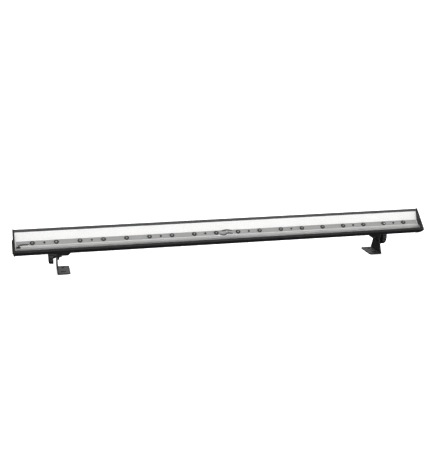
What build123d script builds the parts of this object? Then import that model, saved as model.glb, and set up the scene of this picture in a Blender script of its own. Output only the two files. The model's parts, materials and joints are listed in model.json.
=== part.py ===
from build123d import *
import math
import os

# LED strip batten: a metre-long black bar with eighteen emitters in a white trough behind a
# clear cover, standing on two small feet that tilt about clamping knobs.
# Millimetres. +X runs along the bar, +Y points away from the lit side, +Z is up, z = 0 is the
# surface it stands on. The origin is midway between the round bolt holes of the two feet.

# ---- the bar -------------------------------------------------------------------------------
overall_length = 1042.0         # over both end caps
aim_elevation = 47.0            # angle of the window's normal above the horizon
bar_half_width = 32.5           # half of the section's width, at the window
bar_depth = 44.0                # from the window plane to the flat back
wall = 1.8                      # wall of the extruded housing
side_band = 4.0                 # straight band beside the window, before the flank curves in
flank_mid = (26.7, 22.0)        # half width and depth halfway along the curved flank
flank_end = (17.4, 40.0)        # half width and depth where the flank ends
back_half_width = 15.0          # half width of the back, before its corners are rounded
back_corner_radius = 3.5
back_pad_half_width = 7.5       # thicker strip inside the back, which holds the bracket screws
back_pad_thickness = 3.8
window_half_width = 26.5        # half width of the opening between the lips
slot_play = 0.15                # play of a sheet in its slot

# ---- end caps ------------------------------------------------------------------------------
cap_thickness = 3.5
cap_overhang = 0.8              # how far a cap stands proud of the housing all round
cap_edge_radius = 0.9
cap_plug_length = 1.0           # how far its inner plug reaches into the trough
cap_plug_top_half_width = 26.6
cap_plug_floor_half_width = 6.0
cap_plug_lift = 0.5             # gap between the plug and the trough's floor
shell_length = overall_length - 2 * cap_thickness
shell_end = shell_length / 2
port_radius = 2.6               # round screw ports that run the length of the housing
port_hole_radius = 1.5
port_places = ((26.4, 12.0), (-26.4, 12.0), (13.6, 40.3), (-13.6, 40.3))
cap_screw_length = 12.0
cap_screw_head_radius = 2.6
cap_screw_head_height = 1.7
small_screw_radius = 1.45
head_rounding = 0.45            # of a screw head's height
cross_length = 1.1              # of a screw head's radius
cross_width = 0.25
cross_sink = 0.5                # of a screw head's height

# ---- cover, trough and boards --------------------------------------------------------------
cover_thickness = 2.0
cover_half_width = 29.9
cover_depth = wall + slot_play                      # depth of the cover's outer face
rib_thickness = 1.2
rib_reach = 27.6                                    # half width between the front ribs
cover_rib_depth = cover_depth + cover_thickness + slot_play
tray_thickness = 0.8
tray_rim_depth = cover_rib_depth + rib_thickness + slot_play
tray_rib_depth = tray_rim_depth + tray_thickness + slot_play
tray_rim_half_width = 29.4
tray_wall_top = 27.0                                # half width where the sloped wall starts
tray_floor_half_width = 6.8
tray_floor_depth = 15.1
end_play = 0.2                                      # play at each end of what slides in
board_thickness = 1.6
board_half_width = 6.4
board_end = 513.0                                   # outer end of each emitter board
board_gap = 1.5                                     # from the bar's middle to each board
board_top_depth = tray_floor_depth - board_thickness
led_count = 18
led_pitch = 56.0
led_flange_radius = 5.6
led_flange_height = 1.3
led_body_radius = 4.3
led_body_height = 0.9
led_dome_radius = 2.9
led_lead_reach = 7.2            # from the emitter's axis to the end of each soldered lead
led_lead_width = 3.2
led_lead_thickness = 0.4
board_screw_places = (-8, -6, -3, -1, 1, 3, 6, 8)   # in emitter pitches from the middle
board_screw_head_radius = 2.7
board_screw_head_height = 1.6
board_screw_length = 6.0
board_screw_hole_radius = 1.5
grommet_x = -508.5
grommet_drop = 11.0                                 # how far below the middle line it sits
grommet_size = (10.6, 5.6)                          # along the bar, across the sloped wall
grommet_corner = 2.0
grommet_flange = 1.0
grommet_neck = (8.0, 3.6)                           # where it passes through the tray
grommet_neck_corner = 1.4
grommet_bore_radius = 1.2

# ---- driver --------------------------------------------------------------------------------
driver_x = -350.0               # middle of the driver board
driver_length = 230.0
driver_half_width = 19.3
driver_depth = 31.2             # depth of its component side
guide_rib_reach = 17.6
connector_inset = 3.0           # from the board's end to the terminal and the output plug
terminal_up = -7.0
terminal_block = (12.0, 16.0, 10.0)
terminal_pitch = 5.0
terminal_wire_height = 4.0      # above the board
output_up = 9.5
output_plug = (9.0, 8.0, 8.5)
output_wire_height = 5.0
fuse_place = 36.0               # from the board's end, as for each place below
choke_place = 62.0
capacitor_place = 84.0
transformer_place = 120.0
heatsink_place = 154.0
inductor_place = 190.0
fuse_radius = 2.6
fuse_length = 20.0
fuse_clip = (4.0, 7.0, 6.5)
fuse_height = 4.2
fuse_clip_mouth = 4.2           # opening at the top of a clip
choke_radius = 8.0
choke_bore = 3.5
choke_height = 8.0
choke_rounding = 1.6
capacitor_radius = 5.0
capacitor_length = 18.0
transformer_core = (22.0, 11.0, 10.5)
transformer_bobbin = (16.0, 20.0, 9.0)
heatsink = (26.0, 12.0, 10.5)
heatsink_fins = 5
heatsink_web = 2.5
inductor_side = 12.0
inductor_height = 8.0
component_edge = 0.5

# ---- power inlet ---------------------------------------------------------------------------
inlet_depth = 26.6              # depth of the inlet's middle below the window plane
inlet_flange = (29.0, 22.0)
inlet_flange_corner = 2.0
inlet_flange_thickness = 2.5
inlet_body = (27.0, 19.0)
inlet_body_length = 19.0        # behind the flange
inlet_recess = (24.0, 16.4)
inlet_recess_corner = 4.5
inlet_recess_depth = 16.5
inlet_cutout_play = 0.2
pin_section = (2.0, 4.0)
pin_length = 12.0
tab_length = 8.0
pin_places = ((-7.0, 28.6), (7.0, 28.6), (0.0, 24.6))     # height up the window, depth

# ---- wires ---------------------------------------------------------------------------------
wire_radius = 0.9
inlet_wire_lead = 8.0           # straight wire at each end of an inlet wire
inlet_wire_bend = 8.0
terminal_grip = 4.0             # length of wire inside the terminal
feed_cable_radius = 1.0
feed_grip = 3.0                 # length of cable inside the output plug
feed_lead = 9.0                 # straight cable outside the plug
feed_turn = (-487.0, -6.0, 19.5)        # place along the bar, height up the window, depth
feed_dip = (-499.0, -12.4, 16.0)
feed_neck_back = 3.2            # cable behind the grommet
feed_neck_front = 4.6
feed_crest = (-500.0, -4.5, 10.0)
feed_pad = (-484.5, -3.8)       # where the cable is soldered: place along, height up
feed_pad_lead = 3.0
feed_bends = (5.0, 5.0, 4.0, 1.4, 2.6, 3.0, 1.5)
jumper_bend = 3.6
straight_jumper = (             # place along the bar, height up the window, rise off the boards
    (-14.0, 4.2, 0.0),
    (-11.0, 4.2, 0.0),
    (-6.0, 4.2, 3.0),
    (6.0, 4.2, 3.0),
    (11.0, 4.2, 0.0),
    (14.0, 4.2, 0.0),
)
slack_jumper = (
    (-21.0, -4.0, 0.0),
    (-18.0, -5.0, 0.3),
    (-13.0, -9.5, 2.2),
    (-6.0, -9.0, 3.0),
    (0.0, -4.4, 3.0),
    (7.5, -4.2, 1.6),
    (11.5, -4.2, 0.0),
    (14.5, -4.2, 0.0),
)

# ---- feet, brackets and knobs --------------------------------------------------------------
pivot_depth = 67.5              # depth of the tilt axis below the window plane
pivot_up = -3.0                 # its place up the window from the middle line
pivot_height = 42.7
bolt_hole_offset = 16.5         # from the tilt axis to each row of foot holes
leg_outer_x = 421.0
leg_thickness = 3.0
leg_top_radius = 13.0
foot_width = 64.0               # along Y
foot_length = 32.0              # along X
foot_corner_radius = 6.0
bend_radius = 2.8
foot_hole_inset = 15.0          # from the leg's outer face to the middle of the foot holes
foot_hole_radius = 3.5
foot_slot_radius = 3.0
foot_slot_length = 14.0
friction_washer_thickness = 0.9
friction_washer_radius = 11.0
face_play = 0.05                # gap between faces that turn on each other
inner_bend_radius = 0.5
bracket_thickness = 3.0
bracket_length = 35.0
bracket_half_width = 20.0
bracket_ear_radius = 13.5
bracket_corner = 11.0
bracket_screw_insets = (11.5, 25.0)
bracket_screw_radius = 2.4
bracket_screw_length = 9.0
bracket_screw_head_radius = 4.6
bracket_screw_head_height = 2.8
stud_radius = 4.0
pivot_clearance = 0.05          # running fit of the stud in its holes
nut_across_flats = 14.0
nut_height = 6.5
washer_radius = 8.0
washer_thickness = 1.6
knob_radius = 22.5
knob_thickness = 12.0
knob_standoff = 7.0             # from the leg's outer face to the knob's inner face
knob_hub_radius = 9.5
knob_scallops = 10
knob_scallop_radius = 6.0
knob_scallop_bite = 1.6
knob_lobe_radius = 1.5
knob_rim_radius = 5.0           # rounding of the outer rim
knob_back_radius = 1.0          # rounding of the edge that faces the leg
knob_dish_radius = 12.0
knob_dish_depth = 1.2
stud_in_knob = 8.0
stud_past_nut = 5.5
stud_chamfer = 0.6
stud_glue_gap = 0.02

# ---- the frame worked out from them --------------------------------------------------------
aim = math.radians(aim_elevation)
face_normal = Vector(0, -math.cos(aim), math.sin(aim))
face_up = Vector(0, math.sin(aim), math.cos(aim))
pivot_y = -bolt_hole_offset
tray_slope = math.atan2(tray_floor_depth - tray_rim_depth, tray_wall_top - tray_floor_half_width)
tray_bend_shift = tray_thickness * math.tan(tray_slope / 2)
tray_back_depth = tray_floor_depth + tray_thickness
pivot = Vector(0, pivot_y, pivot_height)
window_middle = pivot + face_normal * pivot_depth - face_up * pivot_up
leg_inner_x = leg_outer_x - leg_thickness
ear_outer_x = leg_inner_x - friction_washer_thickness - 2 * face_play
ear_inner_x = ear_outer_x - bracket_thickness


def section_plane(x):
    """Plane across the bar: local x is up the window, local y is out of it."""
    return Plane(origin=window_middle + Vector(x, 0, 0), x_dir=face_up, z_dir=(1, 0, 0))


def face_plane(depth, x=0.0, up=0.0):
    """Plane along the window at a depth: local x is along the bar, local z is out of it."""
    middle = window_middle - face_normal * depth + face_up * up + Vector(x, 0, 0)
    return Plane(origin=middle, x_dir=(1, 0, 0), z_dir=face_normal)


def place(x, up, depth):
    """A point inside the bar, by its place along it, up the window and below the window."""
    return window_middle + Vector(x, 0, 0) + face_up * up - face_normal * depth


def cross_plane(x):
    """Plane across the object in its own upright frame: local x is +Y, local y is +Z."""
    return Plane(origin=(x, 0, 0), x_dir=(0, 1, 0), z_dir=(1, 0, 0))


def save(builder, name):
    builder.part.label = name
    export_step(builder.part, f"parts/{name}.step")


def bar_outline(grow=0.0):
    """Outline of the bar's section, grown outward by a distance."""
    with BuildSketch() as outline:
        with BuildLine():
            Line((-bar_half_width, 0), (bar_half_width, 0))
            Line((-back_half_width, -bar_depth), (back_half_width, -bar_depth))
            for side in (1, -1):
                band_end = (side * bar_half_width, -side_band)
                middle = (side * flank_mid[0], -flank_mid[1])
                end = (side * flank_end[0], -flank_end[1])
                Line((side * bar_half_width, 0), band_end)
                ThreePointArc(band_end, middle, end)
                Line(end, (side * back_half_width, -bar_depth))
        make_face()
        corners = outline.vertices().group_by(Axis.Y)[0]
        fillet(corners, radius=back_corner_radius)
        if grow:
            offset(amount=grow, kind=Kind.INTERSECTION)
    return outline.sketch


def wire(points, radii, radius=wire_radius):
    """One insulated wire along straight runs joined by tangent arcs."""
    with BuildPart() as strand:
        with BuildLine() as path:
            FilletPolyline(*points, radius=radii)
        with BuildSketch(Plane(origin=path.line @ 0, z_dir=path.line % 0)):
            Circle(radius)
        sweep(path=path.line)
    return strand.part


def pan_screw(head_plane, head_radius, head_height, shank_radius, length):
    """A pan-head screw; the plane is under its head and its z points out of the head."""
    with BuildPart() as screw:
        with BuildSketch(head_plane):
            Circle(head_radius)
        extrude(amount=head_height)
        top = screw.faces().sort_by(Axis(head_plane.origin, head_plane.z_dir))[-1]
        fillet(top.edges(), radius=head_height * head_rounding)
        with BuildSketch(head_plane):
            Circle(shank_radius)
        extrude(amount=-length)
        with BuildSketch(head_plane.offset(head_height)):
            Rectangle(head_radius * cross_length, head_radius * cross_width)
            Rectangle(head_radius * cross_width, head_radius * cross_length)
        extrude(amount=-head_height * cross_sink, mode=Mode.SUBTRACT)
    return screw.part


outline = bar_outline()
cap_outline = bar_outline(cap_overhang)
os.makedirs("parts", exist_ok=True)

# ---- housing: one extrusion with lips, sheet slots, board guides and screw ports -------------
with BuildPart() as housing_shell:
    with BuildSketch(section_plane(-shell_end)):
        add(outline)
        offset(outline, amount=-wall, kind=Kind.INTERSECTION, mode=Mode.SUBTRACT)
        Rectangle(2 * window_half_width, 2 * wall, mode=Mode.SUBTRACT)
        for side in (1, -1):
            for depth, reach in (
                (cover_rib_depth, rib_reach),
                (tray_rib_depth, rib_reach),
                (driver_depth - slot_play - rib_thickness, guide_rib_reach),
                (driver_depth + board_thickness + slot_play, guide_rib_reach),
            ):
                with Locations((side * bar_half_width, -depth)):
                    corner = (Align.MAX, Align.MAX) if side > 0 else (Align.MIN, Align.MAX)
                    Rectangle(bar_half_width - reach, rib_thickness, align=corner)
        with Locations((0, -bar_depth)):
            Rectangle(2 * back_pad_half_width, back_pad_thickness, align=(Align.CENTER, Align.MIN))
        with Locations([(up, -depth) for up, depth in port_places]):
            Circle(port_radius)
        with Locations([(up, -depth) for up, depth in port_places]):
            Circle(port_hole_radius, mode=Mode.SUBTRACT)
        add(outline, mode=Mode.INTERSECT)
    extrude(amount=shell_length)
    with BuildSketch(face_plane(bar_depth)):
        with Locations([
            (side * (leg_inner_x - inset), 0) for side in (1, -1) for inset in bracket_screw_insets
        ]):
            Circle(bracket_screw_radius + pivot_clearance)
    extrude(amount=back_pad_thickness, mode=Mode.SUBTRACT)
save(housing_shell, "housing_shell")


# ---- end caps: a plate that overhangs the section, with a plug that closes the trough --------
def end_cap(side):
    outer_plane = section_plane(side * overall_length / 2)
    plug_top = cover_depth + cover_thickness + end_play
    plug_floor = tray_floor_depth - cap_plug_lift
    with BuildPart() as cap:
        with BuildSketch(section_plane(side * shell_end)):
            add(cap_outline)
        extrude(amount=side * cap_thickness)
        outer_face = cap.faces().sort_by(Axis.X)[-1 if side > 0 else 0]
        fillet(outer_face.edges(), radius=cap_edge_radius)
        with BuildSketch(section_plane(side * shell_end)):
            with BuildLine():
                Polyline(
                    (-cap_plug_top_half_width, -plug_top),
                    (-cap_plug_floor_half_width, -plug_floor),
                    (cap_plug_floor_half_width, -plug_floor),
                    (cap_plug_top_half_width, -plug_top),
                    close=True,
                )
            make_face()
        extrude(amount=-side * cap_plug_length)
        with BuildSketch(outer_plane):
            with Locations([(up, -depth) for up, depth in port_places]):
                Circle(cap_screw_head_radius + end_play)
        extrude(amount=-side * cap_screw_head_height, mode=Mode.SUBTRACT)
        with BuildSketch(outer_plane):
            with Locations([(up, -depth) for up, depth in port_places]):
                Circle(port_hole_radius)
            if side < 0:
                with Locations((0, -inlet_depth)):
                    Rectangle(inlet_body[0] + inlet_cutout_play, inlet_body[1] + inlet_cutout_play)
        extrude(amount=-side * cap_thickness, mode=Mode.SUBTRACT)
    return cap


for side, name in ((-1, "left_end_cap"), (1, "right_end_cap")):
    save(end_cap(side), name)

with BuildPart() as end_cap_screws:
    for side in (-1, 1):
        seat_x = side * (overall_length / 2 - cap_screw_head_height)
        for up, depth in port_places:
            seat = Plane(origin=place(seat_x, up, depth), x_dir=face_up, z_dir=(side, 0, 0))
            add(pan_screw(
                seat, cap_screw_head_radius, cap_screw_head_height, small_screw_radius, cap_screw_length
            ))
save(end_cap_screws, "end_cap_screws")

# ---- clear cover: a flat sheet that slides in behind the lips --------------------------------
with BuildPart() as front_cover:
    with BuildSketch(face_plane(cover_depth)):
        Rectangle(shell_length - 2 * end_play, 2 * cover_half_width)
    extrude(amount=-cover_thickness)
save(front_cover, "front_cover")

# ---- reflector tray: one bent sheet with a flat floor, two sloped walls and two rims ---------
grommet_depth = tray_rim_depth + (tray_wall_top - grommet_drop) * math.tan(tray_slope)
grommet_plane = Plane(
    origin=place(grommet_x, -grommet_drop, grommet_depth),
    x_dir=(1, 0, 0),
    z_dir=face_normal * math.cos(tray_slope) + face_up * math.sin(tray_slope),
)

with BuildPart() as reflector_tray:
    with BuildSketch(section_plane(-shell_end + end_play)):
        with BuildLine():
            Polyline(
                (-tray_rim_half_width, -tray_rim_depth),
                (-tray_wall_top, -tray_rim_depth),
                (-tray_floor_half_width, -tray_floor_depth),
                (tray_floor_half_width, -tray_floor_depth),
                (tray_wall_top, -tray_rim_depth),
                (tray_rim_half_width, -tray_rim_depth),
                (tray_rim_half_width, -tray_rim_depth - tray_thickness),
                (tray_wall_top + tray_bend_shift, -tray_rim_depth - tray_thickness),
                (tray_floor_half_width + tray_bend_shift, -tray_back_depth),
                (-tray_floor_half_width - tray_bend_shift, -tray_back_depth),
                (-tray_wall_top - tray_bend_shift, -tray_rim_depth - tray_thickness),
                (-tray_rim_half_width, -tray_rim_depth - tray_thickness),
                close=True,
            )
        make_face()
    extrude(amount=shell_length - 2 * end_play)
    with BuildSketch(face_plane(tray_back_depth)):
        with Locations([(pitches * led_pitch, 0) for pitches in board_screw_places]):
            Circle(board_screw_hole_radius)
    extrude(amount=2 * tray_thickness, mode=Mode.SUBTRACT)
    with BuildSketch(grommet_plane):
        RectangleRounded(grommet_neck[0], grommet_neck[1], radius=grommet_neck_corner)
    extrude(amount=2 * tray_thickness, both=True, mode=Mode.SUBTRACT)
save(reflector_tray, "reflector_tray")

# ---- rubber grommet that lines the tray's wire hole ------------------------------------------
with BuildPart() as wire_grommet:
    with BuildSketch(grommet_plane):
        RectangleRounded(grommet_size[0], grommet_size[1], radius=grommet_corner)
    extrude(amount=grommet_flange)
    with BuildSketch(grommet_plane.offset(-tray_thickness)):
        RectangleRounded(grommet_size[0], grommet_size[1], radius=grommet_corner)
    extrude(amount=-grommet_flange)
    with BuildSketch(grommet_plane):
        RectangleRounded(grommet_neck[0], grommet_neck[1], radius=grommet_neck_corner)
    extrude(amount=-tray_thickness)
    with BuildSketch(grommet_plane.offset(grommet_flange)):
        Circle(grommet_bore_radius)
    extrude(amount=-2 * grommet_flange - tray_thickness, mode=Mode.SUBTRACT)
save(wire_grommet, "wire_grommet")

# ---- two emitter boards, end to end, screwed to the tray's floor -----------------------------
board_length = board_end - board_gap
for side, name in ((-1, "led_board_left"), (1, "led_board_right")):
    with BuildPart() as led_board:
        with BuildSketch(face_plane(tray_floor_depth)):
            with Locations((side * (board_gap + board_length / 2), 0)):
                Rectangle(board_length, 2 * board_half_width)
            with Locations([
                (pitches * led_pitch, 0) for pitches in board_screw_places if pitches * side > 0
            ]):
                Circle(board_screw_hole_radius, mode=Mode.SUBTRACT)
        extrude(amount=board_thickness)
    save(led_board, name)

with BuildPart() as board_screws:
    for pitches in board_screw_places:
        add(pan_screw(
            face_plane(board_top_depth, pitches * led_pitch),
            board_screw_head_radius,
            board_screw_head_height,
            small_screw_radius,
            board_screw_length,
        ))
save(board_screws, "board_screws")


# ---- emitters: a round package with two leads and a clear dome, each its own piece -----------
def emitter(x):
    base = place(x, 0, board_top_depth)
    dome_base = led_flange_height + led_body_height
    with BuildPart() as package:
        with BuildSketch(Plane(origin=base, x_dir=(1, 0, 0), z_dir=face_up * -1)):
            with BuildLine():
                Polyline(
                    (0, 0),
                    (led_flange_radius, 0),
                    (led_flange_radius, led_flange_height),
                    (led_body_radius, led_flange_height),
                    (led_body_radius, dome_base),
                    (led_dome_radius, dome_base),
                )
                CenterArc((0, dome_base), led_dome_radius, 0, 90)
                Line((0, dome_base + led_dome_radius), (0, 0))
            make_face()
        revolve(axis=Axis(base, face_normal))
        with BuildSketch(face_plane(board_top_depth, x)):
            Rectangle(2 * led_lead_reach, led_lead_width)
        extrude(amount=led_lead_thickness)
    return package


for number in range(1, led_count + 1):
    save(emitter((number - (led_count + 1) / 2) * led_pitch), f"led_{number:02d}")


# ---- driver: a board in the housing's guides, with its components on the lit side ------------
def block(x, up, size, edge=component_edge):
    """A block that stands on the driver board, with its top edges eased."""
    with BuildPart() as piece:
        with BuildSketch(face_plane(driver_depth, x, up)):
            Rectangle(size[0], size[1])
        extrude(amount=size[2])
        fillet(piece.faces().sort_by(Axis((0, 0, 0), face_normal))[-1].edges(), radius=edge)
    return piece.part


with BuildPart() as driver_board:
    with BuildSketch(face_plane(driver_depth + board_thickness, driver_x)):
        Rectangle(driver_length, 2 * driver_half_width)
    extrude(amount=board_thickness)
save(driver_board, "driver_board")

driver_edge = driver_x - driver_length / 2
terminal_x = driver_edge + connector_inset + terminal_block[0] / 2
terminal_wire_depth = driver_depth - terminal_wire_height
with BuildPart() as mains_terminal:
    add(block(terminal_x, terminal_up, terminal_block))
    with BuildSketch(section_plane(terminal_x - terminal_block[0] / 2)):
        with Locations([
            (terminal_up + step * terminal_pitch, -terminal_wire_depth) for step in (-1, 0, 1)
        ]):
            Circle(wire_radius + pivot_clearance)
    extrude(amount=terminal_block[0] / 2, mode=Mode.SUBTRACT)
save(mains_terminal, "mains_terminal")

output_x = driver_edge + connector_inset + output_plug[0] / 2
output_wire_depth = driver_depth - output_wire_height
with BuildPart() as output_connector:
    add(block(output_x, output_up, output_plug))
    with BuildSketch(section_plane(output_x - output_plug[0] / 2)):
        with Locations((output_up, -output_wire_depth)):
            Circle(feed_cable_radius + pivot_clearance)
    extrude(amount=output_plug[0] / 2, mode=Mode.SUBTRACT)
save(output_connector, "output_connector")

fuse_x = driver_edge + fuse_place
with BuildPart() as fuse:
    with BuildSketch(section_plane(fuse_x - fuse_length / 2)):
        with Locations((0, -driver_depth + fuse_height)):
            Circle(fuse_radius)
    extrude(amount=fuse_length)
save(fuse, "fuse")

with BuildPart() as fuse_clips:
    for side in (-1, 1):
        add(block(fuse_x + side * (fuse_length - fuse_clip[0]) / 2, 0, fuse_clip))
    with BuildSketch(section_plane(fuse_x - fuse_length)):
        with Locations((0, -driver_depth + fuse_height)):
            Circle(fuse_radius + pivot_clearance)
        with Locations((0, -driver_depth + fuse_height)):
            Rectangle(fuse_clip_mouth, fuse_clip[2], align=(Align.CENTER, Align.MIN))
    extrude(amount=2 * fuse_length, mode=Mode.SUBTRACT)
save(fuse_clips, "fuse_clips")

choke_x = driver_edge + choke_place
with BuildPart() as mains_choke:
    with BuildSketch(face_plane(driver_depth, choke_x)):
        Circle(choke_radius)
        Circle(choke_bore, mode=Mode.SUBTRACT)
    extrude(amount=choke_height)
    fillet(mains_choke.edges().filter_by(GeomType.CIRCLE), radius=choke_rounding)
save(mains_choke, "mains_choke")

capacitor_x = driver_edge + capacitor_place
with BuildPart() as capacitor:
    with BuildSketch(section_plane(capacitor_x - capacitor_length / 2)):
        with Locations((0, -driver_depth + capacitor_radius)):
            Circle(capacitor_radius)
    extrude(amount=capacitor_length)
    fillet(capacitor.edges().filter_by(GeomType.CIRCLE), radius=2 * component_edge)
save(capacitor, "capacitor")

transformer_x = driver_edge + transformer_place
with BuildPart() as transformer:
    add(block(transformer_x, 0, transformer_core))
    add(block(transformer_x, 0, transformer_bobbin))
save(transformer, "transformer")

heatsink_x = driver_edge + heatsink_place
heatsink_pitch = heatsink[0] / heatsink_fins
with BuildPart() as driver_heatsink:
    with BuildSketch(face_plane(driver_depth, heatsink_x)):
        Rectangle(heatsink[0], heatsink[1])
    extrude(amount=heatsink[2])
    with BuildSketch(face_plane(driver_depth - heatsink[2], heatsink_x)):
        with GridLocations(heatsink_pitch, heatsink[1], heatsink_fins - 1, 1):
            Rectangle(heatsink_pitch / 2, heatsink[1])
    extrude(amount=-heatsink[2] + heatsink_web, mode=Mode.SUBTRACT)
save(driver_heatsink, "driver_heatsink")

inductor_x = driver_edge + inductor_place
with BuildPart() as output_inductor:
    add(block(inductor_x, 0, (inductor_side, inductor_side, inductor_height), 2 * component_edge))
save(output_inductor, "output_inductor")

# ---- power inlet: a snap-in appliance inlet in the left end cap ------------------------------
inlet_face_x = -overall_length / 2 - inlet_flange_thickness
inlet_back_x = -overall_length / 2 + inlet_body_length
with BuildPart() as power_inlet:
    with BuildSketch(section_plane(-overall_length / 2)):
        with Locations((0, -inlet_depth)):
            RectangleRounded(inlet_flange[0], inlet_flange[1], radius=inlet_flange_corner)
    extrude(amount=-inlet_flange_thickness)
    with BuildSketch(section_plane(-overall_length / 2)):
        with Locations((0, -inlet_depth)):
            Rectangle(inlet_body[0], inlet_body[1])
    extrude(amount=inlet_body_length)
    with BuildSketch(section_plane(inlet_face_x)) as recess:
        with Locations((0, -inlet_depth)):
            Rectangle(inlet_recess[0], inlet_recess[1])
        chamfer(recess.vertices().group_by(Axis.Y)[-1], length=inlet_recess_corner)
    extrude(amount=inlet_recess_depth, mode=Mode.SUBTRACT)
    with BuildSketch(section_plane(inlet_back_x)):
        with Locations([(up, -depth) for up, depth in pin_places]):
            Rectangle(pin_section[0], pin_section[1])
    extrude(amount=-inlet_body_length / 2, mode=Mode.SUBTRACT)
save(power_inlet, "power_inlet")

pin_tip_x = inlet_face_x + inlet_recess_depth - pin_length
tab_end_x = inlet_back_x + tab_length
with BuildPart() as inlet_pins:
    with BuildSketch(section_plane(pin_tip_x)):
        with Locations([(up, -depth) for up, depth in pin_places]):
            Rectangle(pin_section[0], pin_section[1])
    extrude(amount=tab_end_x - pin_tip_x)
save(inlet_pins, "inlet_pins")

# ---- wires inside the bar ---------------------------------------------------------------------
terminal_face_x = terminal_x - terminal_block[0] / 2
with BuildPart() as inlet_wires:
    for (up, depth), step in zip(sorted(pin_places), (-1, 0, 1)):
        pole_up = terminal_up + step * terminal_pitch
        add(wire(
            (
                place(tab_end_x, up, depth),
                place(tab_end_x + inlet_wire_lead, up, depth),
                place(terminal_face_x - inlet_wire_lead, pole_up, terminal_wire_depth),
                place(terminal_face_x + terminal_grip, pole_up, terminal_wire_depth),
            ),
            inlet_wire_bend,
        ))
save(inlet_wires, "inlet_wires")

output_face_x = output_x - output_plug[0] / 2
grommet_out = grommet_plane.z_dir
grommet_middle = grommet_plane.origin
feed_pad_depth = board_top_depth - feed_cable_radius
with BuildPart() as led_feed_cable:
    add(wire(
        (
            place(output_face_x + feed_grip, output_up, output_wire_depth),
            place(output_face_x - feed_lead, output_up, output_wire_depth),
            place(*feed_turn),
            place(*feed_dip),
            grommet_middle - grommet_out * feed_neck_back,
            grommet_middle + grommet_out * feed_neck_front,
            place(*feed_crest),
            place(feed_pad[0] - feed_pad_lead, feed_pad[1], feed_pad_depth),
            place(*feed_pad, feed_pad_depth),
        ),
        feed_bends,
        feed_cable_radius,
    ))
save(led_feed_cable, "led_feed_cable")

jumper_depth = board_top_depth - wire_radius
with BuildPart() as board_jumpers:
    for stations in (straight_jumper, slack_jumper):
        add(wire([place(x, up, jumper_depth - rise) for x, up, rise in stations], jumper_bend))
save(board_jumpers, "board_jumpers")


# ---- mount brackets: bent plates screwed to the back, with an ear for the tilt axis ----------
def bracket_screw_points(side):
    return [(side * (leg_inner_x - inset), 0) for inset in bracket_screw_insets]


def mount_bracket(side):
    across = Axis((0, 0, 0), face_up)
    with BuildPart() as bracket:
        with BuildSketch(face_plane(bar_depth)) as flange:
            with Locations((side * (ear_outer_x - bracket_length / 2), 0)):
                Rectangle(bracket_length, 2 * bracket_half_width)
            inner_end = flange.vertices().group_by(Axis.X)[0 if side > 0 else -1]
            chamfer(inner_end, length=bracket_corner)
            with Locations(bracket_screw_points(side)):
                Circle(bracket_screw_radius + pivot_clearance, mode=Mode.SUBTRACT)
        extrude(amount=-bracket_thickness)
        with BuildSketch(section_plane(side * ear_inner_x)):
            with Locations((0, -bar_depth)):
                Rectangle(2 * bracket_half_width, bracket_thickness, align=(Align.CENTER, Align.MAX))
            with Locations((pivot_up, -pivot_depth)):
                Circle(bracket_ear_radius)
            make_hull()
            with Locations((pivot_up, -pivot_depth)):
                Circle(stud_radius + pivot_clearance, mode=Mode.SUBTRACT)
        extrude(amount=side * bracket_thickness)
        outer_corner = place(side * ear_outer_x, 0, bar_depth)
        inner_corner = place(side * ear_inner_x, 0, bar_depth + bracket_thickness)
        fillet(bracket.edges().filter_by(across).sort_by_distance(outer_corner)[0], radius=bend_radius)
        fillet(
            bracket.edges().filter_by(across).sort_by_distance(inner_corner)[0], radius=inner_bend_radius
        )
    return bracket


for side, name in ((-1, "left_mount_bracket"), (1, "right_mount_bracket")):
    save(mount_bracket(side), name)

with BuildPart() as mount_bracket_screws:
    for side in (-1, 1):
        for x, up in bracket_screw_points(side):
            seat = Plane(
                origin=place(x, up, bar_depth + bracket_thickness), x_dir=(1, 0, 0), z_dir=face_normal * -1
            )
            add(pan_screw(
                seat,
                bracket_screw_head_radius,
                bracket_screw_head_height,
                bracket_screw_radius,
                bracket_screw_length,
            ))
save(mount_bracket_screws, "mount_bracket_screws")


# ---- tilt clamps: foot, washers, weld nut, stud and knob on one axis -------------------------
def ring(x_from, x_to, outer_radius, bore_radius):
    """A washer on the tilt axis."""
    with BuildPart() as washer:
        with BuildSketch(cross_plane(x_from)):
            with Locations((pivot_y, pivot_height)):
                Circle(outer_radius)
                Circle(bore_radius, mode=Mode.SUBTRACT)
        extrude(amount=x_to - x_from)
    return washer


def foot(side):
    with BuildPart() as bent_plate:
        with BuildSketch(cross_plane(side * leg_inner_x)):
            with Locations((pivot_y, 0)):
                Rectangle(foot_width, leg_thickness, align=(Align.CENTER, Align.MIN))
            with Locations((pivot_y, pivot_height)):
                Circle(leg_top_radius)
            make_hull()
            with Locations((pivot_y, pivot_height)):
                Circle(stud_radius + pivot_clearance, mode=Mode.SUBTRACT)
        extrude(amount=side * leg_thickness)
        hole_x = side * (leg_outer_x - foot_hole_inset)
        with BuildSketch(Plane.XY) as sole:
            with Locations((side * (leg_outer_x - foot_length / 2), pivot_y)):
                Rectangle(foot_length, foot_width)
            inner_end = sole.vertices().group_by(Axis.X)[0 if side > 0 else -1]
            fillet(inner_end, radius=foot_corner_radius)
            with Locations((hole_x, pivot_y + bolt_hole_offset)):
                Circle(foot_hole_radius, mode=Mode.SUBTRACT)
            with Locations((hole_x, pivot_y - bolt_hole_offset)):
                SlotOverall(foot_slot_length, 2 * foot_slot_radius, mode=Mode.SUBTRACT)
        extrude(amount=leg_thickness)
        outer_corner = (side * leg_outer_x, pivot_y, 0)
        inner_corner = (side * leg_inner_x, pivot_y, leg_thickness)
        along = bent_plate.edges().filter_by(Axis.Y)
        fillet(along.sort_by_distance(outer_corner)[0], radius=bend_radius)
        along = bent_plate.edges().filter_by(Axis.Y)
        fillet(along.sort_by_distance(inner_corner)[0], radius=inner_bend_radius)
    return bent_plate


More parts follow.
